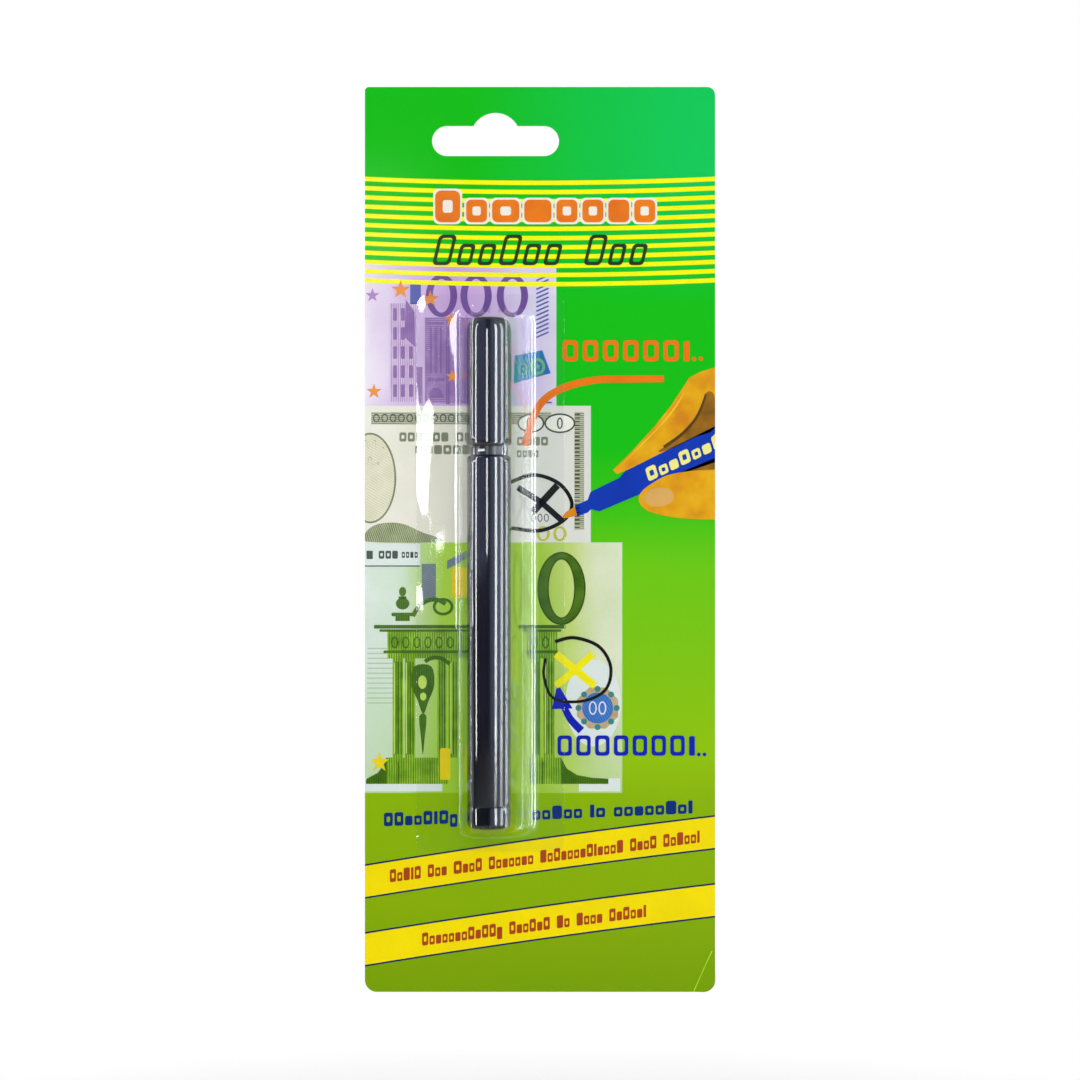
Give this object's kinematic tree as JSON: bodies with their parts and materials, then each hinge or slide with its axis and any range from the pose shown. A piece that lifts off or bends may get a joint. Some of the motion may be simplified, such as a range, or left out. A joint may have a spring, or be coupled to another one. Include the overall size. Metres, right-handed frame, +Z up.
{
  "type": "counterfeit detector pen",
  "caption": "Capped detector marker with fibre ink reservoir, held under a clear thermoformed blister on a hang card with a euro slot.",
  "frame": {"origin": "top of the hang slot's hump at the card's front face, where the display hook bears", "axes": "+Z up along the card and the pen, from the pen's foot to its cap; -Y out of the printed front; +X to the right seen from the front"},
  "size_m": [0.0882, 0.0133, 0.2279],
  "materials": {
    "printed_board": "gloss varnished print",
    "clear_film": "clear thermoformed film",
    "black_gloss": "polished moulding",
    "nib_fibre": "pressed fibre, wet with amber ink",
    "reservoir_fibre": "bonded fibre",
    "liner_plastic": "soft moulding"
  },
  "bodies": {
    "card": {"hang_card": "printed_board"},
    "blister": {"blister_shell": "clear_film"},
    "pen": {"pen_barrel": "black_gloss", "barrel_end_plug": "black_gloss", "nose_section": "black_gloss", "nib": "nib_fibre", "ink_reservoir": "reservoir_fibre", "reservoir_film": "clear_film"},
    "cap": {"pen_cap": "black_gloss", "cap_seal_liner": "liner_plastic"}
  },
  "joints": [
    {"name": "blister_peel", "type": "hinge", "parent": "card", "child": "blister", "pos_m": [-0.0013, -0.00002, -0.18638], "axis": [1, 0, 0], "range_deg": [0, 90]},
    {"name": "pen_tilt", "type": "hinge", "parent": "card", "child": "pen", "pos_m": [-0.0015, -0.00002, -0.18638], "axis": [1, 0, 0], "range_deg": [0, 22.5]},
    {"name": "cap_pull", "type": "slide", "parent": "pen", "child": "cap", "axis": [0, 0, 1], "range_m": [0, 0.024]}
  ],
  "couplings": [
    {"joint": "pen_tilt", "follows": "blister_peel", "ratio": 0.25},
    {"joint": "cap_pull", "follows": "blister_peel", "m_per_rad": 0.01527}
  ]
}
